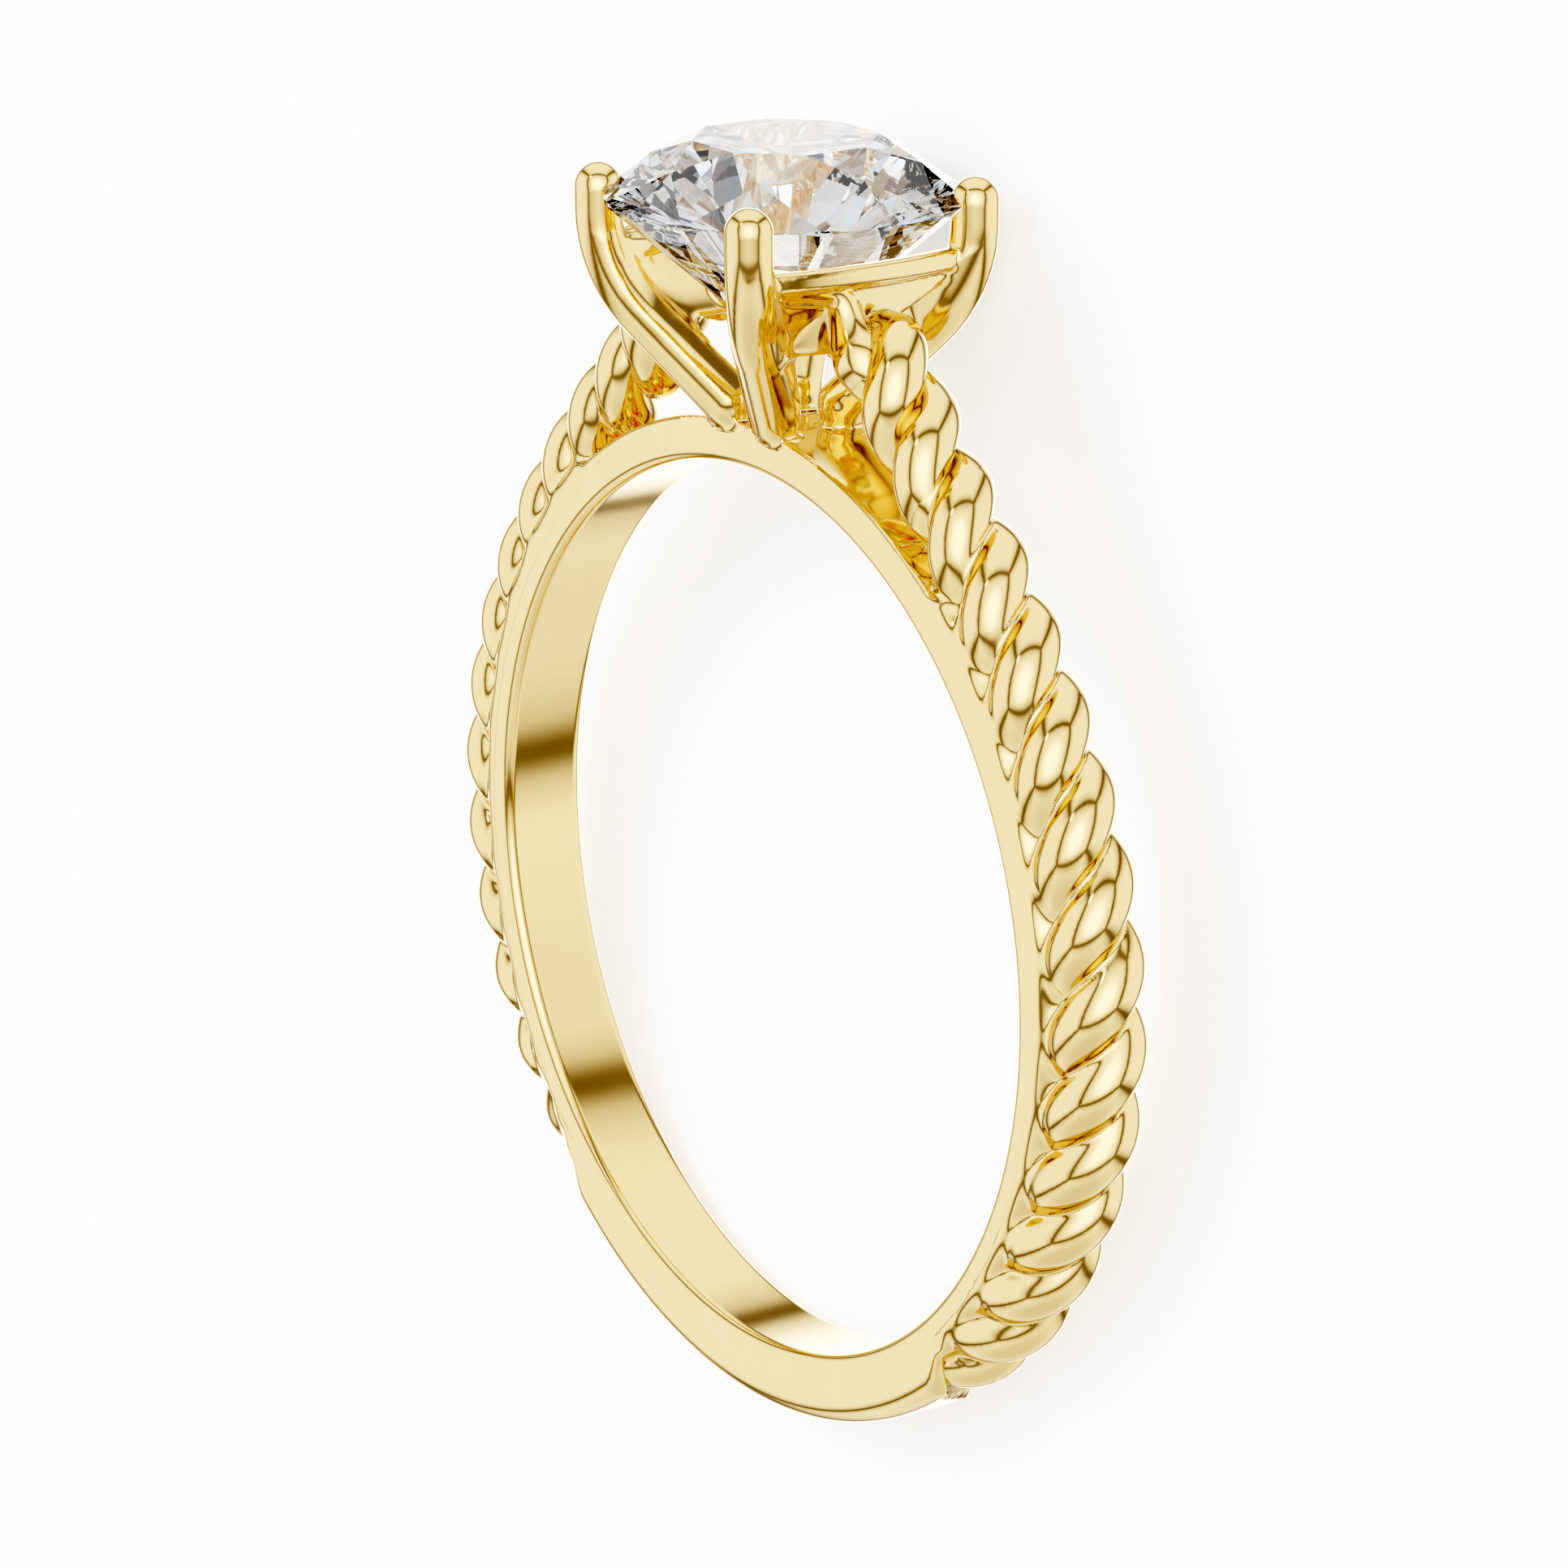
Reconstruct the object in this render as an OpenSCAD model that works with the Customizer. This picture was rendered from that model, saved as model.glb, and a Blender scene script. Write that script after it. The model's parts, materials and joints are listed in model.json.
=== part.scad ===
// Solitaire engagement ring: a plain comfort band whose sides are wrapped in a two-strand twist,
// with a round brilliant held high in a four-prong basket.
// It lies as it rests by itself: its finger hole faces up, and the head end is raised on the
// edge of the stone. +Y runs from the bottom of the band to the stone, +X across the band.

/* [Finger hole and band] */
// Inside diameter of the band
finger_d = 16.5; // [16.3:0.1:16.7]
// Width of the band along the finger
band_w = 1.71; // [1.70:0.01:1.80]
// Thickness of the band under the twisted strands
band_t = 0.82; // [0.76:0.02:0.90]
// Thickness of the plain shank at the bottom
shank_t = 1.32; // [1.24:0.02:1.40]
// Half angle of the plain shank, either side of the bottom
shank_half_angle = 38; // [36:1:40]
// Rounding of the band's inner edges
inner_edge_r = 0.2; // [0.15:0.05:0.25]
// Rounding of the plain shank's outer edges
shank_edge_r = 0.37; // [0.3:0.01:0.4]

/* [Twisted strands] */
// Radius of one round strand
strand_r = 0.425; // [0.40:0.005:0.425]
// Length of one full turn of the twist
twist_pitch = 2.9; // [2.8:0.05:3.0]
// Turn of the twist where it crosses the middle of the band's side
twist_phase = 126; // [116:1:136]

/* [Stone] */
// Diameter of the round brilliant at its girdle
stone_d = 6.44; // [6.40:0.01:6.48]
// Height of the stone's table over the centre of the finger hole
table_height = 14.19; // [14.1:0.01:14.3]
// Share of the stone's width that its table takes
table_share = 0.526; // [0.50:0.01:0.56]
// Slope of the crown's main facets
crown_angle = 33.8; // [32:0.1:35]
// Slope of the pavilion's main facets
pavilion_angle = 40.8; // [40:0.1:41.5]
// Thickness of the girdle where it is thinnest
girdle_t = 0.09; // [0.08:0.01:0.12]
// Clearance between the stone and the metal
stone_gap = 0.04; // [0.03:0.01:0.06]

/* [Prong basket] */
// Radius of a prong's wire
prong_r = 0.43; // [0.41:0.01:0.45]
// Radius of a prong's rounded foot, where it stands on the band
prong_foot_r = 0.47; // [0.45:0.01:0.50]
// Distance of a prong's upright end from the stone's axis
prong_reach = 3.387; // [3.37:0.01:3.40]
// Height where a prong's domed tip begins
prong_tip_height = 13.18; // [13.1:0.01:13.25]
// Height where a prong starts to bend inwards
prong_bend_height = 12.79; // [12.75:0.01:12.85]
// Bending radius of a prong
prong_bend_r = 2.71; // [2.65:0.01:2.75]
// Angle that a prong bends through
prong_bend_angle = 46; // [45:0.5:47]
// Distance of a prong's foot from the stone's axis
prong_foot_reach = 0.97; // [0.95:0.01:1.0]
// Thickness of the wall between two prongs
wall_t = 0.3; // [0.26:0.02:0.34]
// Distance that the wall's middle lies nearer to the stone's axis than the prongs' middle
wall_inset = 0.06; // [0.04:0.01:0.08]
// Height of the arch's top under that wall
arch_height = 10.75; // [10.6:0.05:10.9]
// Half width of the arch at its shoulders
arch_side = 0.95; // [0.9:0.05:1.0]
// Half width of the arch at its foot
arch_foot = 0.3; // [0.25:0.05:0.35]
// Rounding of the arch's shoulders
arch_r = 0.25; // [0.2:0.05:0.3]
// Height of the rail on that wall
rail_height = 12.2; // [12.18:0.01:12.22]
// Radius of the rail
rail_r = 0.18; // [0.16:0.01:0.19]
// Distance of the middle of the rail from the stone's axis
rail_reach = 2.6; // [2.59:0.01:2.62]
// Radius that the rail bows outwards with
rail_bow_r = 7.8; // [7:0.1:9]

/* [Hidden] */
GOLD = [0.94, 0.84, 0.56];
DIAMOND = [0.90, 0.93, 0.96];
smooth = 64;
corner_steps = 4;

finger_r = finger_d / 2;
band_r = finger_r + band_t;
shank_r = finger_r + shank_t;
half_w = band_w / 2;
band_edge_r = 0.12;
// Radius inside the band's metal, where strands and prongs are cut off
root_r = finger_r + 0.3;

// Stone
stone_r = stone_d / 2;
table_r = table_share * stone_r;
girdle_top = table_height - (stone_r - table_r) * tan(crown_angle);
girdle_bottom = girdle_top - girdle_t;
culet_height = girdle_bottom - stone_r * tan(pavilion_angle);
girdle_reach = stone_r / cos(180 / 16);
// How far the star facets reach from the table's edge towards the girdle, as a share
star_share = 0.52;
// How far the lower halves reach from the girdle towards the culet, as a share
lower_share = 0.77;
star_r = table_r * cos(22.5) + star_share * (stone_r - table_r * cos(22.5));
star_height = table_height - (star_r * cos(22.5) - table_r) * tan(crown_angle);
lower_r = (1 - lower_share) * stone_r;
lower_height = culet_height + lower_r * cos(22.5) * tan(pavilion_angle);

// Route of the twist's centre line from the shank up to the wall of the basket.
// Columns: angle above the middle of the side, distance from the hole's centre,
// distance in front of the band's middle plane
TWIST_ROUTE = [
    [-62, 8.42, -0.08],
    [-50, 8.83, -0.06],
    [-38, 9.10, -0.02],
    [-25, 9.27, 0],
    [-12, 9.41, 0],
    [0, 9.49, 0],
    [12, 9.50, 0],
    [24, 9.47, 0],
    [36, 9.47, 0],
    [47, 9.61, 0],
    [57, 9.92, 0.03],
    [66, 10.42, 0.07],
    [72, 11.17, 0.10],
    [79, 11.50, 0.10],
];
middle_row = 5;
steps_a_row = 9;
// Directions of the outline's points round one strand, from its crest
STRAND_ANGLES = [-74, -50, -24, 0, 24, 50, 74];
// How fast a strand's outline falls off beside its crest
outline_power = 0.385;

// Rest: how far the head is raised, from the edge of the stone and the shank's rounded edge
rise = girdle_bottom + shank_r - shank_edge_r;
drop = stone_r - half_w + shank_edge_r;
tilt = acos(shank_edge_r / norm([rise, drop])) - atan2(rise, drop);
lift = stone_r * cos(tilt) - girdle_bottom * sin(tilt);
shank_end_y = shank_edge_r + (shank_r - shank_edge_r) * cos(tilt) + (half_w - shank_edge_r) * sin(tilt);
table_end_y = table_height * cos(tilt) + table_r * cos(22.5) * sin(tilt);
centre_shift = (shank_end_y - table_end_y) / 2;

function polar(r, a) = [r * cos(a), r * sin(a)];

// A quarter of a circle from angle a on, as points
function quarter(centre, r, a) =
    [for (i = [0:corner_steps]) centre + polar(r, a + 90 * i / corner_steps)];

// Point of a smooth curve through b and c, with a before them and d after them
function curve(a, b, c, d, t) =
    (2 * b + (c - a) * t + (2 * a - 5 * b + 4 * c - d) * t * t + (3 * b - a - 3 * c + d) * t * t * t) / 2;

// Centre line of the twist
route_last = len(TWIST_ROUTE) - 1;
route_knots = [for (row = TWIST_ROUTE) [each polar(row[1], row[0]), row[2]]];
function knot(i) =
    i < 0 ? 2 * route_knots[0] - route_knots[1]
    : i > route_last ? 2 * route_knots[route_last] - route_knots[route_last - 1]
    : route_knots[i];
route = [
    for (i = [0:route_last - 1], k = [0:steps_a_row - 1])
        curve(knot(i - 1), knot(i), knot(i + 1), knot(i + 2), k / steps_a_row),
    route_knots[route_last]
];
rings = len(route);
// Length of the route up to each of its points
function add_up(i, so_far) =
    i >= rings ? so_far
    : add_up(i + 1, concat(so_far, [so_far[i - 1] + norm(route[i] - route[i - 1])]));
route_length = add_up(1, [0]);
middle_length = route_length[middle_row * steps_a_row];
function heading(i) =
    let (d = route[min(i + 1, rings - 1)] - route[max(i - 1, 0)])
    [d[0], d[1]] / norm([d[0], d[1]]);
function turn(i) = twist_phase - 360 * (route_length[i] - middle_length) / twist_pitch;

// Outline of the two strands together, in the plane across their centre line
function outline_r(a) = 2 * strand_r * pow(cos(a), outline_power);
OUTLINE = [
    for (side = [0, 180], a = STRAND_ANGLES) [side + a, outline_r(a)]
];
function ring_point(i, row) =
    let (
        d = heading(i),
        out = row[1] * cos(turn(i) + row[0]),
        up = row[1] * sin(turn(i) + row[0])
    )
    route[i] + [out * d[1], -out * d[0], up];

module twist() {
    sides = len(OUTLINE);
    points = [for (i = [0:rings - 1], row = OUTLINE) ring_point(i, row)];
    walls = [
        for (i = [0:rings - 2], j = [0:sides - 1])
            let (
                a = i * sides + j,
                b = i * sides + (j + 1) % sides
            )
            each [[a, b, b + sides], [a, b + sides, a + sides]]
    ];
    start_cap = [for (j = [sides - 1:-1:0]) j];
    end_cap = [for (j = [0:sides - 1]) (rings - 1) * sides + j];
    polyhedron(points = points, faces = concat(walls, [start_cap, end_cap]), convexity = 8);
}

// Band: one rounded ring as thick as the shank, thinned where the strands lie on it
module shank_ring() {
    inner = finger_r + inner_edge_r;
    outer = shank_r - shank_edge_r;
    rotate_extrude($fn = smooth)
        polygon(concat(
            quarter([outer, half_w - shank_edge_r], shank_edge_r, 0),
            quarter([inner, half_w - inner_edge_r], inner_edge_r, 90),
            quarter([inner, inner_edge_r - half_w], inner_edge_r, 180),
            quarter([outer, shank_edge_r - half_w], shank_edge_r, 270)
        ));
}

module thinned_stretch() {
    edge = band_r - band_edge_r;
    rotate([0, 0, shank_half_angle - 90])
        rotate_extrude(angle = 360 - 2 * shank_half_angle, $fn = smooth)
            polygon(concat(
                [[shank_r + 1, -band_w], [edge, -band_w]],
                quarter([edge, band_edge_r - half_w], band_edge_r, 270),
                quarter([edge, half_w - band_edge_r], band_edge_r, 0),
                [[edge, band_w], [shank_r + 1, band_w]]
            ));
}

module band() {
    difference() {
        shank_ring();
        thinned_stretch();
    }
}

// Head: drawn upright, with the stone's axis along Z from the centre of the finger hole
bend_centre = prong_reach - prong_bend_r;
bend_end = [bend_centre, prong_bend_height] + polar(prong_bend_r, -prong_bend_angle);
leg_length = (bend_end[0] - prong_foot_reach) / sin(prong_bend_angle);
foot_height = bend_end[1] - leg_length * cos(prong_bend_angle);

module prong() {
    translate([prong_reach, 0, prong_tip_height])
        sphere(r = prong_r, $fn = smooth);
    translate([prong_reach, 0, prong_bend_height])
        cylinder(r = prong_r, h = prong_tip_height - prong_bend_height, $fn = smooth);
    translate([bend_centre, 0, prong_bend_height])
        rotate([90, 0, 0])
            rotate([0, 0, -prong_bend_angle])
                rotate_extrude(angle = prong_bend_angle, $fn = smooth)
                    translate([prong_bend_r, 0])
                        circle(r = prong_r, $fn = smooth);
    translate([prong_foot_reach, 0, foot_height])
        rotate([0, prong_bend_angle, 0]) {
            cylinder(r1 = prong_foot_r, r2 = prong_r, h = leg_length, $fn = smooth);
            sphere(r = prong_foot_r, $fn = smooth);
        }
}

module rail() {
    span = 2 * asin(prong_reach * sin(45) / rail_bow_r);
    translate([rail_reach - rail_bow_r, 0, rail_height])
        rotate([0, 0, -span / 2])
            rotate_extrude(angle = span, $fn = smooth)
                translate([rail_bow_r, 0])
                    circle(r = rail_r, $fn = smooth);
}

// Profile of the wall between two prongs, seen along the wall: it follows the prongs from
// under the rail down their bend and part of their legs
function beside(p) = [p[0] * cos(45), p[1]];
bend_points = [
    for (a = [16, 23, 30, 38, prong_bend_angle])
        [bend_centre, prong_bend_height] + polar(prong_bend_r, -a)
];
leg_share = 0.85;
wall_foot = (1 - leg_share) * bend_end + leg_share * [prong_foot_reach, foot_height];
WALL_LINE = [for (p = concat(bend_points, [wall_foot])) beside(p)];
wall_last = len(WALL_LINE) - 1;

module wall() {
    shoulder = arch_height - arch_r;
    outer = [wall_t / 2 - wall_inset, 0];
    inner = [-wall_t / 2 - wall_inset, 0];
    intersection() {
        rotate([90, 0, 0])
            linear_extrude(height = 2 * prong_reach, center = true)
                polygon(concat(
                    [for (p = WALL_LINE) p + outer],
                    [for (i = [wall_last:-1:0]) WALL_LINE[i] + inner]
                ));
        rotate([90, 0, 90])
            linear_extrude(height = prong_reach)
                polygon(concat(
                    WALL_LINE,
                    [[arch_foot, wall_foot[1]]],
                    [for (a = [0:30:90]) [arch_side - arch_r, shoulder] + polar(arch_r, a)],
                    [for (a = [90:30:180]) [arch_r - arch_side, shoulder] + polar(arch_r, a)],
                    [[-arch_foot, wall_foot[1]]],
                    [for (i = [wall_last:-1:0]) [-WALL_LINE[i][0], WALL_LINE[i][1]]]
                ));
    }
}

// Where the twist ends: one strand runs up the wall as a pillar, and a spout fills the corner
// between it, the rail and the prong behind it. Both are drawn for the side at +X.
// Columns of the spout's outline: distance behind the middle, height
SPOUT = [
    [-0.15, 12.05],
    [-0.15, 11.14],
    [0.10, 11.15],
    [0.84, 11.42],
    [1.40, 11.65],
    [1.95, 11.95],
    [1.95, 12.05],
];
spout_back = 2;
spout_face = 2.62;
pillar_r = 0.3;
pillar_top = [2.38, -0.42, 11.80];
pillar_foot = [2.66, -0.42, 10.75];

module strand_end() {
    run = pillar_top - pillar_foot;
    translate([spout_back, 0, 0])
        rotate([90, 0, 90])
            linear_extrude(height = spout_face - spout_back)
                polygon(SPOUT);
    translate(pillar_foot)
        rotate([0, atan2(run[0], run[2]), 0])
            cylinder(r = pillar_r, h = norm(run), $fn = smooth);
    translate(pillar_top)
        sphere(r = pillar_r, $fn = smooth);
}

// Room that the stone takes in the metal, with its clearance: it clears the edges between
// the facets, which stand out beyond the main facets
module seat() {
    rotate_extrude($fn = smooth)
        polygon([
            [0, culet_height - 2 * stone_gap],
            [stone_r + stone_gap, girdle_bottom - stone_gap],
            [stone_r + stone_gap, girdle_top + stone_gap],
            [star_r, star_height + 1.5 * stone_gap],
            [table_r, table_height + 1.5 * stone_gap],
            [0, table_height + 1.5 * stone_gap]
        ]);
}

module head() {
    rotate([-90, 0, 0])
        difference() {
            union() {
                for (k = [0:3])
                    rotate([0, 0, 45 + 90 * k])
                        prong();
                for (side = [0, 1])
                    mirror([side, 0, 0]) {
                        wall();
                        rail();
                        strand_end();
                    }
            }
            seat();
        }
}

module at_rest() {
    translate([0, centre_shift, lift])
        rotate([tilt, 0, 0])
            children();
}

module mounting() {
    color(GOLD)
        at_rest()
            union() {
                band();
                difference() {
                    union() {
                        twist();
                        mirror([1, 0, 0])
                            twist();
                        head();
                    }
                    cylinder(r = root_r, h = 4 * band_w, center = true, $fn = smooth);
                }
            }
}

// Stone: the corners of a round brilliant's facets, cut to a round girdle
function around(count, start, r, z) =
    [for (k = [0:count - 1]) [r * cos(start + 360 * k / count), r * sin(start + 360 * k / count), z]];
BRILLIANT = concat(
    around(8, 22.5, table_r, table_height),
    around(8, 0, star_r, star_height),
    around(16, 0, girdle_reach, girdle_top - (girdle_reach - stone_r) * tan(crown_angle)),
    around(16, 0, girdle_reach, girdle_bottom + (girdle_reach - stone_r) * tan(pavilion_angle)),
    around(8, 0, lower_r, lower_height),
    [[0, 0, culet_height]]
);

module stone() {
    color(DIAMOND)
        at_rest()
            rotate([-90, 0, 0])
                intersection() {
                    translate([0, 0, culet_height - 1])
                        cylinder(r = stone_r, h = table_height - culet_height + 2, $fn = smooth);
                    hull()
                        polyhedron(points = BRILLIANT, faces = [[for (i = [0:len(BRILLIANT) - 1]) i]]);
                }
}

mounting();
stone();
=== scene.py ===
import json
import math

import bpy
import numpy as np
from mathutils import Matrix, Vector


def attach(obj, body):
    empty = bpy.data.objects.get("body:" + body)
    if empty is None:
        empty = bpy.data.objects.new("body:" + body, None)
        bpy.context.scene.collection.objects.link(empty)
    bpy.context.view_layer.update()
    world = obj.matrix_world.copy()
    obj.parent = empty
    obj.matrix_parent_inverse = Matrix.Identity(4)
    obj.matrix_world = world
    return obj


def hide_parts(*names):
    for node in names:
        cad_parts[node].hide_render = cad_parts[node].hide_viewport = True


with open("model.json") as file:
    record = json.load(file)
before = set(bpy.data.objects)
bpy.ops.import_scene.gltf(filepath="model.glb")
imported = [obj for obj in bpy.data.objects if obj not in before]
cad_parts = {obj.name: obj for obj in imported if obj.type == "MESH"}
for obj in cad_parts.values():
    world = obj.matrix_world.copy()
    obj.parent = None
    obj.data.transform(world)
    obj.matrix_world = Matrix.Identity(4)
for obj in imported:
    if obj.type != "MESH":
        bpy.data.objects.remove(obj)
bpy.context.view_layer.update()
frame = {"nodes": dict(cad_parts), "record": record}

MM = 0.001
FAR = 1e9
SIDES = ((1, "right"), (-1, "left"))

# Band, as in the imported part
MOUNT = next(m for m in frame["record"]["mounts"] if m["name"] == "finger_hole")
FINGER_R = MOUNT["dims"]["r_mm"]
HALF_W = 0.855
BAND_R = FINGER_R + 0.82
SHANK_R = FINGER_R + 1.32
ROOT_R = FINGER_R + 0.3
INNER_EDGE_R = 0.2
BAND_EDGE_R = 0.12
SHANK_EDGE_R = 0.37
# Half angle of the thick shank at the band's front and back face, and the length of its ramps
SHANK_FRONT = 40.0
SHANK_BACK = 32.5
SHANK_RAMP = 4.5
# Where the strands lie, the band's own top is lowered to a radius inside the shoulder. All angles up the side
# are counted from its middle
RIM_FIRST = -47.0
RIM_LAST = 53.0
RIM_RAMP = 3.0
RIM_INNER_R = 8.78
RIM_GAP = 0.02
RIM_EDGE_R = 0.07
# The band's mesh: degrees a step where it is plain and at the rim, points across its top, and how far from a
# rounded edge a flat face gets one more point
PLAIN_STEP = 1.0
RIM_STEP = 0.3
TOP_POINTS = 15
EDGE_SUPPORT = 0.02

# The shoulder, a surface over the band's rim and the strands on it, worked out unrolled at ROLL_R: its first
# and last angle, where the band's top comes back up, the length, sinking and cut of its ends, its innermost
# radius, its bounds and its mesh step
SHOULDER_FIRST = -50.0
SHOULDER_LAST = 62.0
COVERED_LAST = SHOULDER_LAST - 1
SHOULDER_END = 0.5
SHOULDER_END_SINK = 0.06
SHOULDER_END_CUT = 0.05
SHOULDER_FLOOR = 8.66
SHOULDER_HALF_W = 0.95
SHOULDER_TOP = 11.05
SHOULDER_STEP = 0.042
ROLL_R = 9.3
MESH_MARGIN = 0.05
# Edge of the rim on the band's faces. Columns: angle up the side, distance from the hole's centre. From there
# the rim's top rises inwards, under the strands
RIM_ROUTE = [
    (-49, 8.84),
    (-40, 8.82),
    (-20, 8.88),
    (0, 8.95),
    (8, 8.99),
    (16, 8.99),
    (25, 9.04),
    (42, 9.10),
    (50, 9.17),
    (55, 9.25),
]
RIM_SLOPE = 0.6
RIM_RISE = 0.22
RIM_ROUNDING = 3 * RIM_EDGE_R
# Reach of the fillets between the rim and the strands, and between the strands
RIM_FILLET = 0.3
GROOVE_FILLET = 0.14
# How far the shoulder lies over the wires and over the band's faces, and how deep inside these it starts
STRAND_SKIN = 0.004
FACE_SKIN = 0.0008
FACE_DIP = 0.004
FACE_DIP_LENGTH = 0.3

# Two strands wound round this route, up the right side. Columns: angle up the side, distance from the hole's
# centre, distance in front of the band's middle plane
TWIST_ROUTE = [
    (-62, 8.42, -0.08),
    (-50, 8.83, -0.06),
    (-38, 9.10, -0.02),
    (-25, 9.27, 0.0),
    (-12, 9.41, 0.0),
    (0, 9.49, 0.0),
    (12, 9.50, 0.0),
    (24, 9.47, 0.0),
    (36, 9.47, 0.0),
    (47, 9.61, 0.0),
    (57, 9.92, 0.03),
    (66, 10.42, 0.07),
    (72, 11.17, 0.10),
    (79, 11.50, 0.10),
]
MIDDLE_ROW = 5
STEPS_A_ROW = 40
STRAND_R = 0.51
STRAND_REACH = 0.34
TWIST_PITCH = 2.9
TWIST_PHASE = math.radians(126)
STRAND_SIDES = 36

# Stone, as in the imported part, and its room in the metal
STONE_R = 3.22
STONE_GAP = 0.015
TABLE_HEIGHT = 14.19
TABLE_R = 0.526 * STONE_R
CROWN_ANGLE = math.radians(33.8)
PAVILION_ANGLE = math.radians(40.8)
GIRDLE_TOP = TABLE_HEIGHT - (STONE_R - TABLE_R) * math.tan(CROWN_ANGLE)
GIRDLE_BOTTOM = GIRDLE_TOP - 0.09
CULET_HEIGHT = GIRDLE_BOTTOM - STONE_R * math.tan(PAVILION_ANGLE)

# Prongs
PRONG_R = 0.43
PRONG_FOOT_R = 0.47
PRONG_REACH = 3.387
PRONG_TIP_HEIGHT = 13.18
PRONG_BEND_HEIGHT = 12.79
PRONG_BEND_R = 2.71
PRONG_BEND = math.radians(46)
PRONG_FOOT_REACH = 1.06
# The feet flow out into a slab inside the band's top: its inner radius, its reach, its depth below the top
SLAB_FLOOR = 8.85
SLAB_REACH = 2.2
FOOT_SINK = 0.012

# Wall between the prongs of a side, a little inside their middle
WALL_T = 0.3
WALL_INSET = 0.06
WALL_TOP = 12.1
WALL_BOTTOM = 9.75
# Opening under the wall, without its rounding. Columns: distance behind the middle, height
ARCH = [(0.15, 9.2), (0.80, 10.60), (-0.80, 10.60), (-0.15, 9.2)]
ARCH_ROUND = 0.15
# A bowed plate on the wall, above the arch: reach of its outer face at its lower edge, that edge's height,
# and the face's lean and bow
PLATE_REACH = 2.40
PLATE_BOTTOM = 10.77
PLATE_LEAN = 0.1
PLATE_BOW = 0.2

# Rail along the top of the wall, a bowed bar
RAIL_HEIGHT = 12.2
RAIL_HALF_T = 0.16
RAIL_HALF_H = 0.19
RAIL_HALF_LENGTH = 2.4
RAIL_EDGE_R = 0.1
RAIL_REACH = 2.6
RAIL_BOW_R = 7.8
# Outline of the spout under the rail. Columns: distance behind the middle, height
SPOUT = [
    (-0.35, 12.15),
    (-0.35, 11.14),
    (0.10, 11.15),
    (0.84, 11.42),
    (1.40, 11.65),
    (1.95, 11.95),
    (1.95, 12.15),
]
SPOUT_PROUD = 0.03
SPOUT_DEPTH = 0.6

# The second strand narrows into a bar that turns under the rail to the front prong. Columns: across, behind,
# height, radius
BAR = [
    (2.77, -0.44, 10.99, 0.45),
    (2.69, -0.45, 11.16, 0.37),
    (2.61, -0.45, 11.33, 0.32),
    (2.53, -0.45, 11.52, 0.29),
    (2.46, -0.48, 11.73, 0.27),
    (2.40, -0.63, 11.90, 0.25),
    (2.36, -0.95, 11.98, 0.24),
    (2.31, -1.40, 12.02, 0.23),
    (2.20, -2.00, 12.07, 0.22),
]
# Angles up the side where the basket takes over the strands, where the second strand's own wire ends, and
# where it narrows into the bar
STRAND_END = 72
WIRE_END = 74
BAR_START = 75
# The basket's strand ends: how far they lie over the wires, how deep inside them they start, and the length
# over which they come out. Then the step of their path, the distance of its knots before the bar and the
# steps from knot to knot, the rounds of smoothing, and the box that holds them
END_SKIN = 0.006
END_DIP = 0.05
END_DIP_LENGTH = 0.7
END_STEP = 0.04
END_KNOT_STEP = 0.25
STEPS_A_KNOT = 12
END_SMOOTHING = 16
ENDS_LOW = (1.2, -2.6, 9.6)
ENDS_HIGH = (4.2, 2.6, 12.6)

# Reach of the fillets where the basket's parts meet, and of the rounding of their edges
PLATE_FILLET = 0.1
PRONG_FILLET = 0.45
STRAND_FILLET = 0.12
SPOUT_FILLET = 0.15
RAIL_FILLET = 0.08
FOOT_FILLET = 0.4
TOP_ROUNDING = 0.05
EDGE_ROUNDING = 0.2
# Bounds and step of the basket's mesh
BASKET_LOW = (-0.12, -3.0, 8.72)
BASKET_HIGH = (4.08, 3.0, 13.72)
BASKET_STEP = 0.04


def row_matrix():
    """The ring's own frame in the row's frame."""
    origin = Vector(MOUNT["pos_m"])
    finger = Vector(MOUNT["axis"]).normalized()
    across = Vector((1, 0, 0))
    up = finger.cross(across)
    turn = Matrix((across, -finger, up)).transposed().to_4x4()
    return Matrix.Translation(origin) @ turn


TO_ROW = row_matrix()


def to_row(points):
    matrix = np.array(TO_ROW)
    return np.asarray(points) * MM @ matrix[:3, :3].T + matrix[:3, 3]


def piece(name, points, faces, material):
    """A smooth mesh of the ring's own frame as an object that rides on the part."""
    mesh = bpy.data.meshes.new(name)
    mesh.from_pydata(to_row(points).tolist(), [], [list(map(int, f)) for f in faces])
    mesh.validate()
    mesh.shade_smooth()
    mesh.materials.append(material)
    obj = bpy.data.objects.new(name, mesh)
    bpy.context.scene.collection.objects.link(obj)
    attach(obj, "root")
    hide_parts("mounting")
    return obj


def grid_faces(rings, sides, wrap_rings=False):
    """Quads between successive closed rings of points."""
    last = rings if wrap_rings else rings - 1
    i, j = np.meshgrid(np.arange(last), np.arange(sides), indexing="ij")
    k, n = (j + 1) % sides, (i + 1) % rings
    quads = np.stack([i * sides + j, i * sides + k, n * sides + k, n * sides + j], axis=-1)
    return quads.reshape(-1, 4).tolist()


def smooth_step(t):
    t = np.clip(t, 0, 1)
    return t * t * (3 - 2 * t)


def soft_min(a, b, k):
    """The nearer of two surfaces, with a fillet where they are less than k apart."""
    return np.minimum(a, b) - np.maximum(k - np.abs(a - b), 0)**3 / (6 * k * k)


def soft_max(a, b, k):
    """What two solids share, with its edge rounded where their surfaces are less than k apart."""
    return -soft_min(-a, -b, k)


def mirrored(points, faces, side):
    """The same mesh on the side at +x or -x."""
    if side > 0:
        return points, faces
    return points * np.array([-1, 1, 1]), [f[::-1] for f in faces]


# Tubes
def unit(v):
    return v / np.linalg.norm(v, axis=-1, keepdims=True)


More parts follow.
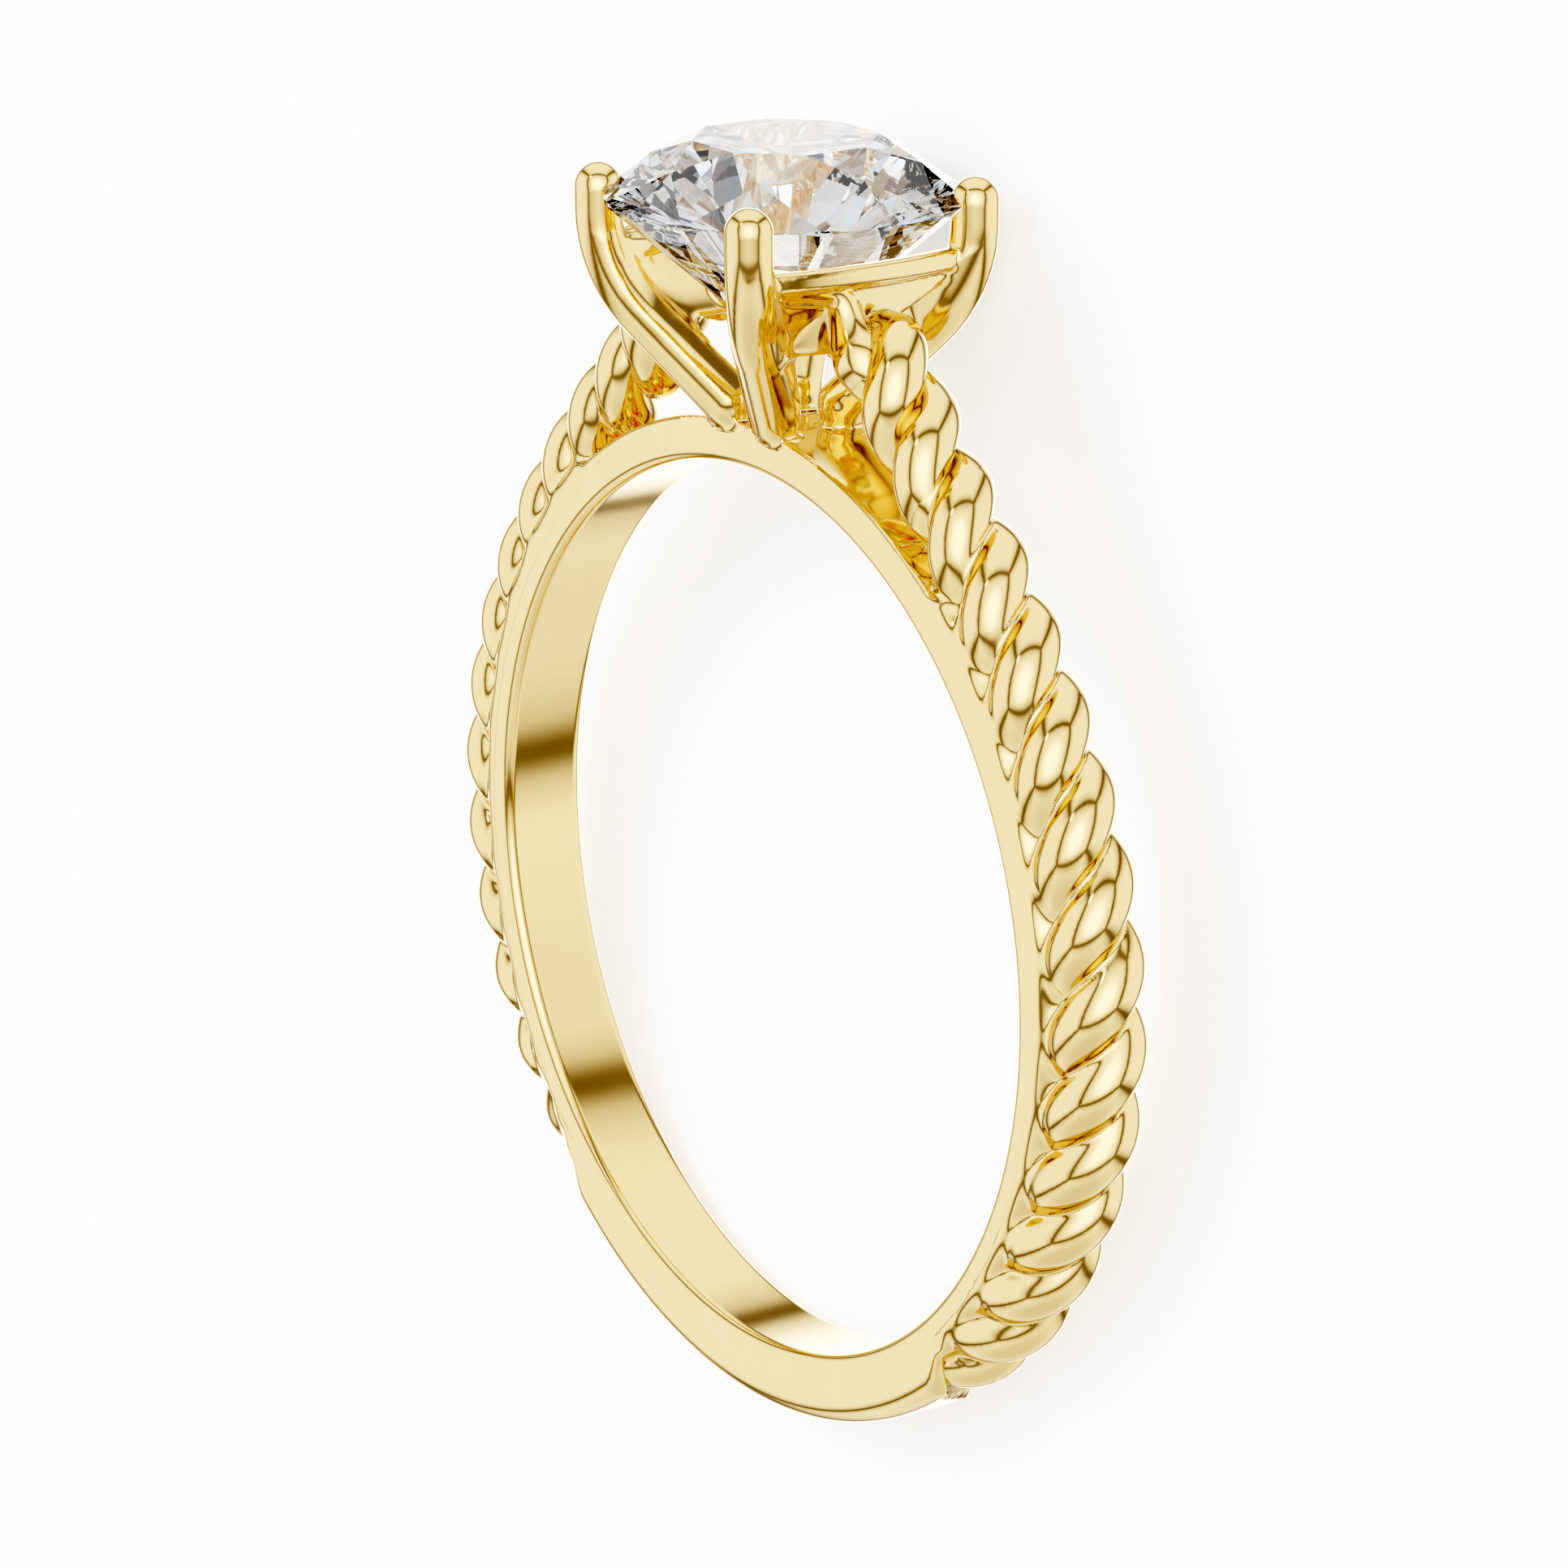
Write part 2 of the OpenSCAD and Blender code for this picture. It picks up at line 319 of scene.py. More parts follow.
def tube(path, radii, sides, start_up):
    """A round tube along a path, closed at both ends by its last ring."""
    ahead = unit(np.gradient(path, axis=0))
    ups = np.empty_like(path)
    up = np.asarray(start_up, float)
    for i, d in enumerate(ahead):
        up = up - d * (up @ d)
        up /= np.linalg.norm(up)
        ups[i] = up
    beside = np.cross(ahead, ups)
    a = np.linspace(0, 2 * math.pi, sides, endpoint=False)
    ring = np.cos(a)[None, :, None] * ups[:, None] + np.sin(a)[None, :, None] * beside[:, None]
    points = path[:, None] + np.asarray(radii)[:, None, None] * ring
    faces = grid_faces(len(path), sides)
    faces.append(list(range(sides))[::-1])
    faces.append([(len(path) - 1) * sides + j for j in range(sides)])
    return points.reshape(-1, 3), [f[::-1] for f in faces]


def rounded_ends(path, radii, steps=10):
    """Adds a half ball to both ends of a tube's path."""
    path, radii = np.asarray(path, float), np.asarray(radii, float)
    # The last ring lies just short of the ball's tip, so it has some width
    a = np.linspace(math.radians(88), 0, steps, endpoint=False)
    first, last = unit(path[0] - path[1]), unit(path[-1] - path[-2])
    start = path[0] + first * (radii[0] * np.sin(a))[:, None]
    end = path[-1] + last * (radii[-1] * np.sin(a))[:, None]
    return (np.vstack([start, path, end[::-1]]),
            np.concatenate([radii[0] * np.cos(a), radii, (radii[-1] * np.cos(a))[::-1]]))


# Band
def shank_share(angle, y):
    """1 on the thick shank and 0 where the strands lie, with a ramp that runs askew across the band."""
    from_bottom = np.abs((np.degrees(angle) + 90 + 180) % 360 - 180)
    half = SHANK_FRONT + (SHANK_BACK - SHANK_FRONT) * (y + HALF_W) / (2 * HALF_W)
    return smooth_step((half - from_bottom) / SHANK_RAMP + 0.5)


def corner(centre_r, centre_y, r, first, steps=9):
    """Points (distance from the axis, y) of a quarter circle."""
    a = np.radians(first + np.linspace(0, 90, steps))
    return centre_r + r * np.cos(a), centre_y + r * np.sin(a)


def side_angle(angle):
    """Degrees above the middle of the side, on either side of the ring."""
    return np.degrees(np.arctan2(np.sin(angle), np.abs(np.cos(angle))))


def rim_share(side):
    """1 where the strands lie on the band, 0 elsewhere."""
    return smooth_step((side - RIM_FIRST) / RIM_RAMP) * smooth_step((RIM_LAST - side) / RIM_RAMP)


def band_rim(side):
    """Distance of the band's own top from the hole's centre, a little below the shoulder's."""
    covered = smooth_step((side - RIM_FIRST) / RIM_RAMP) * smooth_step((COVERED_LAST - side) / RIM_RAMP)
    return BAND_R + (RIM_INNER_R - BAND_R) * rim_share(side) - RIM_GAP * covered


def band_section(angle):
    """The band's cross section at one angle round it."""
    radii, ys = [], []

    def add(r, y):
        radii.extend(np.atleast_1d(r))
        ys.extend(np.atleast_1d(y))

    side = float(side_angle(angle))
    thin_r = band_rim(side)
    thin_edge = BAND_EDGE_R + (RIM_EDGE_R - BAND_EDGE_R) * rim_share(side)
    for face in (-1, 1):
        share = shank_share(angle, face * HALF_W)
        edge = thin_edge + (SHANK_EDGE_R - thin_edge) * share
        outer = thin_r + (SHANK_R - thin_r) * share
        inner_y = face * (HALF_W - INNER_EDGE_R)
        inner = corner(FINGER_R + INNER_EDGE_R, inner_y, INNER_EDGE_R, 180 if face < 0 else 90)
        outside = corner(outer - edge, face * (HALF_W - edge), edge, -90 if face < 0 else 0)
        if face < 0:
            add(FINGER_R, inner[1][0] + EDGE_SUPPORT)
            add(*inner)
            add(inner[0][-1] + EDGE_SUPPORT, -HALF_W)
            add(outside[0][0] - EDGE_SUPPORT, -HALF_W)
            add(*outside)
            front_y = outside[1][-1]
        else:
            across = np.linspace(front_y, outside[1][0], TOP_POINTS)[1:-1]
            shares = shank_share(angle, across)
            add(thin_r + (SHANK_R - thin_r) * shares, across)
            add(*outside)
            add(outside[0][-1] - EDGE_SUPPORT, HALF_W)
            add(inner[0][0] + EDGE_SUPPORT, HALF_W)
            add(*inner)
            add(FINGER_R, inner[1][-1] - EDGE_SUPPORT)
    return np.array(radii), np.array(ys)


def band_angles():
    """Angles round the band, closer together where the strands lie."""
    first, last = RIM_FIRST - RIM_RAMP, RIM_LAST + RIM_RAMP
    right = np.concatenate([np.arange(-90, first, PLAIN_STEP), np.arange(first, last, RIM_STEP),
                            np.arange(last, 90, PLAIN_STEP)])
    left = 180 - right[1:][::-1]
    return np.radians(np.concatenate([right, [90], left]))


def band(material):
    points = []
    angles = band_angles()
    for angle in angles:
        radii, ys = band_section(angle)
        points.append(np.stack([radii * math.cos(angle), ys, radii * math.sin(angle)], axis=-1))
    faces = grid_faces(len(angles), len(points[0]), wrap_rings=True)
    return piece("band", np.concatenate(points), faces, material)


# Twisted strands
def smooth_path(knots, steps):
    """A smooth curve through points."""
    knots = np.array(knots, float)
    knots = np.vstack([2 * knots[0] - knots[1], knots, 2 * knots[-1] - knots[-2]])
    t = np.arange(steps)[:, None] / steps
    runs = []
    for a, b, c, d in zip(knots, knots[1:], knots[2:], knots[3:]):
        runs.append((2 * b + (c - a) * t + (2 * a - 5 * b + 4 * c - d) * t**2
                     + (3 * b - a - 3 * c + d) * t**3) / 2)
    return np.vstack([*runs, knots[-2:-1]])


def twist_route():
    """Centre line of the twist: points (x, z, distance in front) of a smooth curve through the rows."""
    knots = [(r * math.cos(math.radians(a)), r * math.sin(math.radians(a)), front)
             for a, r, front in TWIST_ROUTE]
    return smooth_path(knots, STEPS_A_ROW)


def strand_path(offset):
    """Centre line of a strand that winds round the twist's own, and its points' angles up the side."""
    route = twist_route()
    length = np.concatenate([[0], np.cumsum(np.linalg.norm(np.diff(route, axis=0), axis=1))])
    ahead = unit(np.gradient(route[:, :2], axis=0))
    turn = TWIST_PHASE + offset - 2 * math.pi * (length - length[MIDDLE_ROW * STEPS_A_ROW]) / TWIST_PITCH
    out, front = STRAND_REACH * np.cos(turn), STRAND_REACH * np.sin(turn)
    x = route[:, 0] + out * ahead[:, 1]
    z = route[:, 1] - out * ahead[:, 0]
    return np.stack([x, -(route[:, 2] + front), z], axis=-1), np.degrees(np.arctan2(z, x))


STRAND_PATHS = [strand_path(offset) for offset in (0, math.pi)]


def strand(name, number, side, material):
    """A strand as a round wire. The second one ends where the basket goes on with it as a bar."""
    path, angles = STRAND_PATHS[number]
    if number:
        path = path[angles < WIRE_END]
    path, radii = rounded_ends(path, np.full(len(path), STRAND_R))
    points, faces = tube(path, radii, STRAND_SIDES, (1, 0, 0))
    # What reaches into the band ends inside its metal
    r = np.hypot(points[:, 0], points[:, 2])
    push = np.maximum(1, ROOT_R / r)
    points = points * np.stack([push, np.ones_like(push), push], axis=-1)
    return piece(name, *mirrored(points, faces, side), material)


# Distances to the solids that flow together
def prong_line(bend_steps=60, leg_steps=12):
    """Points (distance from the stone's axis, height) down a prong."""
    centre = PRONG_REACH - PRONG_BEND_R
    upright = [(PRONG_REACH, PRONG_TIP_HEIGHT), (PRONG_REACH, (PRONG_TIP_HEIGHT + PRONG_BEND_HEIGHT) / 2)]
    bend = [(centre + PRONG_BEND_R * math.cos(a), PRONG_BEND_HEIGHT - PRONG_BEND_R * math.sin(a))
            for a in np.linspace(0, PRONG_BEND, bend_steps)]
    r, z = bend[-1]
    length = (r - PRONG_FOOT_REACH) / math.sin(PRONG_BEND)
    leg = [(r - t * length * math.sin(PRONG_BEND), z - t * length * math.cos(PRONG_BEND))
           for t in np.linspace(0, 1, leg_steps)[1:]]
    return np.array(upright + bend + leg)


PRONG_LINE = prong_line()


def stone_planes():
    """The stone's facets in the ring's own frame: outward normals and distances."""
    node = frame["nodes"]["stone"]
    own = (TO_ROW.inverted() @ node.matrix_world).to_3x3().normalized()
    planes = set()
    for face in node.data.polygons:
        normal = own @ face.normal
        point = TO_ROW.inverted() @ (node.matrix_world @ face.center) / MM
        planes.add((*(round(c, 3) for c in normal), round(normal.dot(point), 3)))
    planes = np.array(sorted(planes))
    return planes[:, :3], planes[:, 3]


STONE_NORMALS, STONE_DISTANCES = stone_planes()


def seat_depth(p, margin=0.5):
    """Depth inside the room that the stone takes, below zero outside it."""
    result = np.full(len(p), -1.0)
    near = (p[:, 2] > CULET_HEIGHT - margin) & (np.hypot(p[:, 0], p[:, 1]) < STONE_R + margin)
    result[near] = STONE_GAP - (p[near] @ STONE_NORMALS.T - STONE_DISTANCES).max(1)
    return result


def outline_distance(u, v, corners):
    """Signed distance of points to a closed outline, below zero inside."""
    best, inside = np.full(len(u), FAR), np.zeros(len(u), bool)
    for (u0, v0), (u1, v1) in zip(corners, corners[1:] + corners[:1]):
        du, dv = u1 - u0, v1 - v0
        t = np.clip(((u - u0) * du + (v - v0) * dv) / (du * du + dv * dv), 0, 1)
        best = np.minimum(best, np.hypot(u - u0 - t * du, v - v0 - t * dv))
        crosses = (v0 > v) != (v1 > v)
        inside ^= crosses & (u < u0 + du * (v - v0) / (dv if dv else 1))
    return np.where(inside, -best, best)


def prong_distance(p, azimuth):
    """Distance to one prong: upright at the stone, bent inwards below it, with a rounded foot."""
    c, s = math.cos(azimuth), math.sin(azimuth)
    out = p[:, 0] * c + p[:, 1] * s
    aside = p[:, 1] * c - p[:, 0] * s
    z = p[:, 2]
    upright = np.hypot(out - PRONG_REACH, z - np.clip(z, PRONG_BEND_HEIGHT, PRONG_TIP_HEIGHT))
    centre = PRONG_REACH - PRONG_BEND_R
    angle = np.arctan2(PRONG_BEND_HEIGHT - z, out - centre)
    bend = np.abs(np.hypot(out - centre, z - PRONG_BEND_HEIGHT) - PRONG_BEND_R)
    bend = np.where((angle > 0) & (angle < PRONG_BEND), bend, FAR)
    start = (centre + PRONG_BEND_R * math.cos(PRONG_BEND),
             PRONG_BEND_HEIGHT - PRONG_BEND_R * math.sin(PRONG_BEND))
    length = (start[0] - PRONG_FOOT_REACH) / math.sin(PRONG_BEND)
    down = (-math.sin(PRONG_BEND), -math.cos(PRONG_BEND))
    t = np.clip((out - start[0]) * down[0] + (z - start[1]) * down[1], 0, length)
    leg = np.hypot(out - start[0] - t * down[0], z - start[1] - t * down[1])
    radius = PRONG_R + (PRONG_FOOT_R - PRONG_R) * t / length
    line = np.minimum(upright, bend)
    return np.minimum(np.hypot(aside, line) - PRONG_R, np.hypot(aside, leg) - radius)


def nearest_of_all(path):
    """Finds the nearest point of a path."""
    return lambda q: ((q[:, None] - path)**2).sum(2).argmin(1)


def nearest_by_angle(path, angles, window=20):
    """Finds the nearest point of a path among those about as far up the side."""
    rising = np.maximum.accumulate(angles)

    def find(q):
        place = np.searchsorted(rising, np.degrees(np.arctan2(q[:, 2], q[:, 0])))
        first = np.clip(place - window, 0, len(path) - 2 * window - 1)
        some = first[:, None] + np.arange(2 * window + 1)
        return first + ((q[:, None] - path[some])**2).sum(2).argmin(1)

    return find


def tube_distance(p, path, radii, nearest, chunk=20000):
    """Distance to a tube whose radius changes along a finely stepped path."""
    ahead = unit(np.gradient(path, axis=0))
    pace = np.linalg.norm(np.gradient(path, axis=0), axis=1)
    bend = np.gradient(ahead, axis=0) / pace[:, None]
    widening = np.gradient(radii) / pace
    result = np.empty(len(p))
    for start in range(0, len(p), chunk):
        q = p[start:start + chunk]
        near = nearest(q)
        t = ((q - path[near]) * ahead[near]).sum(1)
        t = np.clip(t, np.where(near == 0, 0, -pace[near]), np.where(near == len(path) - 1, 0, pace[near]))
        centre = path[near] + ahead[near] * t[:, None] + bend[near] * t[:, None]**2 / 2
        result[start:start + chunk] = np.linalg.norm(q - centre, axis=1) - radii[near] - widening[near] * t
    return result


def evened(path, spacing):
    """The same path with points at even distances."""
    along = np.concatenate([[0], np.cumsum(np.linalg.norm(np.diff(path[:, :3], axis=0), axis=1))])
    places = np.linspace(0, along[-1], int(along[-1] / spacing))
    return np.column_stack([np.interp(places, along, column) for column in path.T])


def strand_end_tubes():
    """The last stretch of both strands, sunk into the strands' own wires at its start: paths and radii."""
    tubes = []
    for number, (path, angles) in enumerate(STRAND_PATHS):
        part = (angles > STRAND_END) & (angles < (BAR_START if number else 90))
        path = np.column_stack([path[part], np.full(part.sum(), STRAND_R + END_SKIN)])
        if number:
            path = smooth_path(np.vstack([evened(path, END_KNOT_STEP), BAR]), STEPS_A_KNOT)
        path = evened(path, END_STEP)
        smoothed = path.copy()
        for _ in range(END_SMOOTHING):
            smoothed[1:-1] = (smoothed[:-2] + 2 * smoothed[1:-1] + smoothed[2:]) / 4
        share = smooth_step(END_STEP * np.arange(len(path)) / END_DIP_LENGTH)[:, None]
        path = path + (smoothed - path) * share
        path[:, 3] -= END_DIP * (1 - share[:, 0])
        tubes.append((path[:, :3], path[:, 3]))
    return tubes


STRAND_END_TUBES = strand_end_tubes()


def strand_ends(p):
    """Distance to the last stretch of both strands and to the bar that the second one turns into."""
    result = np.full(len(p), 1.0)
    box = ((p > ENDS_LOW) & (p < ENDS_HIGH)).all(1)
    for path, radii in STRAND_END_TUBES:
        result[box] = np.minimum(result[box], tube_distance(p[box], path, radii, nearest_of_all(path)))
    return result


def wall_distance(x, y, z):
    """Distance to the wall between two prongs, with its arch, and to the plate on it."""
    heights, reach = PRONG_LINE[::-1, 1], PRONG_LINE[::-1, 0] * math.cos(math.pi / 4)
    middle = np.interp(z, heights, reach)
    slope = np.interp(z, (heights[1:] + heights[:-1]) / 2, np.diff(reach) / np.diff(heights))
    sheet = (x - middle + WALL_INSET) / np.hypot(1, slope)
    between = np.abs(y) - middle
    wall = np.maximum(np.abs(sheet) - WALL_T / 2, between)
    wall = np.maximum(soft_max(wall, z - WALL_TOP, TOP_ROUNDING), WALL_BOTTOM - z)
    wall = soft_max(wall, ARCH_ROUND - outline_distance(y, z, ARCH), EDGE_ROUNDING)
    face = x - PLATE_REACH - PLATE_LEAN * (z - PLATE_BOTTOM) + PLATE_BOW * y * y
    face = face / np.hypot(math.hypot(1, PLATE_LEAN), 2 * PLATE_BOW * y)
    plate = np.maximum(np.maximum(face, -sheet - WALL_T / 2), between)
    plate = soft_max(soft_max(plate, z - WALL_TOP, TOP_ROUNDING), PLATE_BOTTOM - z, EDGE_ROUNDING)
    return soft_min(wall, plate, PLATE_FILLET)


def rail_distance(bow, y, z):
    """Distance to the rail, which has flat faces and rounded edges."""
    beside = np.abs(bow) - RAIL_HALF_T + RAIL_EDGE_R
    above = np.abs(z - RAIL_HEIGHT) - RAIL_HALF_H + RAIL_EDGE_R
    rail = np.hypot(np.maximum(beside, 0), np.maximum(above, 0)) + np.minimum(np.maximum(beside, above), 0)
    return np.maximum(rail - RAIL_EDGE_R, np.abs(y) - RAIL_HALF_LENGTH)


def slab_distance(x, y, z):
    """Distance to the slab inside the band's top that the feet flow into."""
    r = np.hypot(x, z)
    slab = np.maximum(r - BAND_R, np.abs(y) - HALF_W)
    slab = np.maximum(slab, np.maximum(SLAB_FLOOR - r, np.maximum(-x, x - SLAB_REACH)))
    return slab + FOOT_SINK


def basket_field(p):
    """Distance to one side of the head: prongs, wall, plate, rail, spout, strand ends and bar in one."""
    x, y, z = p.T
    bow = np.hypot(x - RAIL_REACH + RAIL_BOW_R, y) - RAIL_BOW_R
    spout = np.maximum(bow - SPOUT_PROUD, -SPOUT_DEPTH - bow)
    spout = soft_max(outline_distance(y, z, SPOUT), spout, EDGE_ROUNDING)
    prongs = np.minimum(prong_distance(p, math.pi / 4), prong_distance(p, -math.pi / 4))
    solid = soft_min(wall_distance(x, y, z), prongs, PRONG_FILLET)
    solid = soft_min(soft_min(solid, strand_ends(p), STRAND_FILLET), spout, SPOUT_FILLET)
    solid = soft_min(solid, rail_distance(bow, y, z), RAIL_FILLET)
    solid = soft_min(solid, slab_distance(x, y, z), FOOT_FILLET)
    return np.maximum(solid, seat_depth(p))


def unrolled(u):
    """Points of the ring's own frame from the way round it, the way behind its middle and the radius."""
    a = u[:, 0] / ROLL_R
    return np.stack([u[:, 2] * np.cos(a), u[:, 1], u[:, 2] * np.sin(a)], axis=-1)


def shoulder_field(u):
    """Distance to the rim of the band with the strands that lie on it, at unrolled points."""
    side = np.degrees(u[:, 0] / ROLL_R)
    y, r = u[:, 1], u[:, 2]
    p = unrolled(u)
    strands = []
    for path, angles in STRAND_PATHS:
        radii = np.full(len(path), STRAND_R + STRAND_SKIN)
        strands.append(tube_distance(p, path, radii, nearest_by_angle(path, angles)))
    twist = soft_min(*strands, GROOVE_FILLET)
    table = np.array(RIM_ROUTE)
    rise = np.minimum(RIM_SLOPE * (HALF_W - np.abs(y)), RIM_RISE)
    edge = np.interp(side, table[:, 0], table[:, 1]) + rise
    top = BAND_R + (edge - BAND_R) * rim_share(side)
    # Its faces rise from just inside the band's own faces to a hair outside them
    half = HALF_W + FACE_SKIN - FACE_DIP * (1 - np.clip((r - SHOULDER_FLOOR) / FACE_DIP_LENGTH, 0, 1))**2
    rim = soft_max(np.abs(y) - half, r - top, RIM_ROUNDING)
    from_end = ROLL_R * np.radians(np.minimum(side - SHOULDER_FIRST, SHOULDER_LAST - side))
    sunk = SHOULDER_END_SINK * (1 - smooth_step(from_end / SHOULDER_END))
    solid = soft_min(rim, twist, RIM_FILLET) + sunk
    return np.maximum(solid, np.maximum(SHOULDER_END_CUT - from_end, SHOULDER_FLOOR - r))


# Meshes of the solids that flow together
def surface_points(field, p, rounds=4, h=1e-3, least_slope=0.5, longest_move=0.02):
    """Moves points onto the zero surface of a field along its slope."""
    for _ in range(rounds):
        slope = np.stack([(field(p + d) - field(p - d)) / (2 * h) for d in np.eye(3) * h], axis=-1)
        steepness = np.maximum((slope**2).sum(1), least_slope**2)
        move = field(p)[:, None] * slope / steepness[:, None]
        p = p - np.clip(move, -longest_move, longest_move)
    return p


def solid_from_field(field, low, high, step):
    """Closed quad mesh of a field's zero surface: a point in every cell that it crosses."""
    axes = [np.arange(a, b + step, step) for a, b in zip(low, high)]
    shape = tuple(len(a) for a in axes)
    samples = np.stack(np.meshgrid(*axes, indexing="ij"), axis=-1).reshape(-1, 3)
    values = field(samples).reshape(shape)
    inside = values < 0
    total = np.zeros((*shape, 3))
    count = np.zeros(shape)
    edges = []
    for axis in range(3):
        near = [slice(None)] * 3
        far = [slice(None)] * 3
        near[axis], far[axis] = slice(0, -1), slice(1, None)
        near, far = tuple(near), tuple(far)
        i = np.argwhere(inside[near] != inside[far])
        a = values[near][tuple(i.T)]
        b = values[far][tuple(i.T)]
        at = i.astype(float)
        at[:, axis] += a / (a - b)
        others = [k for k in range(3) if k != axis]
        cells = []
        for du, dv in ((0, 0), (-1, 0), (-1, -1), (0, -1)):
            c = i.copy()
            c[:, others[0]] += du
            c[:, others[1]] += dv
            np.add.at(total, tuple(c.T), at)
            np.add.at(count, tuple(c.T), 1)
            cells.append(c)
        outward = (a < 0) ^ (axis == 1)
        edges.append((cells, outward))
    used = np.argwhere(count > 0)
    number = np.full(shape, -1)
    number[tuple(used.T)] = np.arange(len(used))
    mean = total[tuple(used.T)] / count[tuple(used.T)][:, None]
    points = np.array(low) + mean * step
    faces = []
    for cells, outward in edges:
        quads = np.stack([number[tuple(c.T)] for c in cells], axis=-1)
        faces.extend(np.where(outward[:, None], quads, quads[:, ::-1]).tolist())
    return surface_points(field, points), faces


def shoulder(material):
    low = (ROLL_R * math.radians(SHOULDER_FIRST), -SHOULDER_HALF_W, SHOULDER_FLOOR - MESH_MARGIN)
    high = (ROLL_R * math.radians(SHOULDER_LAST), SHOULDER_HALF_W, SHOULDER_TOP)
    points, faces = solid_from_field(shoulder_field, low, high, SHOULDER_STEP)
    points, faces = unrolled(points), [f[::-1] for f in faces]
    for side, word in SIDES:
        piece(f"shoulder_{word}", *mirrored(points, faces, side), material)


def basket(material):
    points, faces = solid_from_field(basket_field, BASKET_LOW, BASKET_HIGH, BASKET_STEP)
    for side, word in SIDES:
        piece(f"basket_{word}", *mirrored(points, faces, side), material)


# Materials
def gold():
    """Pale yellow gold, with faint clouds in its tone and its polish."""
    material = bpy.data.materials.new("polished_gold")
    material.use_nodes = True
    nodes, links = material.node_tree.nodes, material.node_tree.links
    shader = nodes["Principled BSDF"]
    shader.inputs["Metallic"].default_value = 1.0
    place = nodes.new("ShaderNodeTexCoord")
    cloud = nodes.new("ShaderNodeTexNoise")
    cloud.inputs["Scale"].default_value = 900
    cloud.inputs["Detail"].default_value = 2
    tone = nodes.new("ShaderNodeValToRGB")
    tone.color_ramp.elements[0].color = (0.95, 0.705, 0.395, 1)
    tone.color_ramp.elements[1].color = (0.97, 0.73, 0.42, 1)
    links.new(place.outputs["Object"], cloud.inputs["Vector"])
    links.new(cloud.outputs["Fac"], tone.inputs["Fac"])
    links.new(tone.outputs["Color"], shader.inputs["Base Color"])
    rough = nodes.new("ShaderNodeMapRange")
    rough.inputs["To Min"].default_value = 0.07
    rough.inputs["To Max"].default_value = 0.13
    links.new(cloud.outputs["Fac"], rough.inputs["Value"])
    links.new(rough.outputs["Result"], shader.inputs["Roughness"])
    return material


def diamond():
    material = bpy.data.materials.new("clear_diamond")
    material.use_nodes = True
    nodes, links = material.node_tree.nodes, material.node_tree.links
    shader = nodes["Principled BSDF"]
    shader.inputs["Base Color"].default_value = (0.98, 0.985, 0.99, 1)
    shader.inputs["Roughness"].default_value = 0.0
    shader.inputs["IOR"].default_value = 2.42
    shader.inputs["Transmission Weight"].default_value = 1.0
    # The polished metal mirrors what lies behind the stone
    route = nodes.new("ShaderNodeLightPath")
    outside = nodes.new("ShaderNodeMath")
    outside.operation = "LESS_THAN"
    outside.inputs[1].default_value = 0.5
    mirrored_ray = nodes.new("ShaderNodeMath")
    mirrored_ray.operation = "MULTIPLY"
    clear = nodes.new("ShaderNodeBsdfTransparent")
    mix = nodes.new("ShaderNodeMixShader")
    links.new(route.outputs["Transmission Depth"], outside.inputs[0])
    links.new(outside.outputs["Value"], mirrored_ray.inputs[0])
    links.new(route.outputs["Is Glossy Ray"], mirrored_ray.inputs[1])
    links.new(mirrored_ray.outputs["Value"], mix.inputs["Fac"])
    links.new(shader.outputs["BSDF"], mix.inputs[1])
    links.new(clear.outputs["BSDF"], mix.inputs[2])
    links.new(mix.outputs["Shader"], nodes["Material Output"].inputs["Surface"])
    return material


def floor_paint():
    material = bpy.data.materials.new("pale_floor")
    material.use_nodes = True
    shader = material.node_tree.nodes["Principled BSDF"]
    shader.inputs["Base Color"].default_value = (0.9, 0.9, 0.9, 1)
    shader.inputs["Roughness"].default_value = 1.0
    shader.inputs["Specular IOR Level"].default_value = 0.0
    shader.inputs["Emission Color"].default_value = (1, 1, 1, 1)
    shader.inputs["Emission Strength"].default_value = 0.35
    return material


# Stage
def floor():
    """A pale floor that neither the metal nor the stone shows."""
    mesh = bpy.data.meshes.new("floor")
    half = 3.0
    corners = [(-half, -half, 0), (half, -half, 0), (half, half, 0), (-half, half, 0)]
    mesh.from_pydata(corners, [], [(0, 1, 2, 3)])
    mesh.materials.append(floor_paint())
    obj = bpy.data.objects.new("floor", mesh)
    bpy.context.scene.collection.objects.link(obj)
    obj.visible_glossy = False
    obj.visible_transmission = False


def camera_axes():
    """The camera's right, up and back in the ring's own frame."""
    azimuth, elevation, roll = math.radians(55.74), math.radians(17.11), math.radians(0.042)
    back = Vector((math.sin(azimuth) * math.cos(elevation), -math.cos(azimuth) * math.cos(elevation),
                   math.sin(elevation)))
    level = Vector((math.cos(azimuth), math.sin(azimuth), 0))
    right = math.cos(roll) * level + math.sin(roll) * back.cross(level)
    return right, back.cross(right), back


def camera():
    """A camera at the photograph's angle and distance to the ring."""
    right, up, back = camera_axes()
    distance, aside, above = 117.0, -0.02, 2.162
    focal_px, frame_px = 7895.0, 1932
    data = bpy.data.cameras.new("photo_camera")
    data.sensor_width = 36
    data.lens = data.sensor_width * focal_px / frame_px
    data.clip_start, data.clip_end = 0.01, 20
    obj = bpy.data.objects.new("photo_camera", data)
    bpy.context.scene.collection.objects.link(obj)
    own = Matrix((right, up, back)).transposed().to_4x4()
    own.translation = (back * distance + right * aside + up * above) * MM
    obj.matrix_world = TO_ROW @ own
    bpy.context.scene.camera = obj


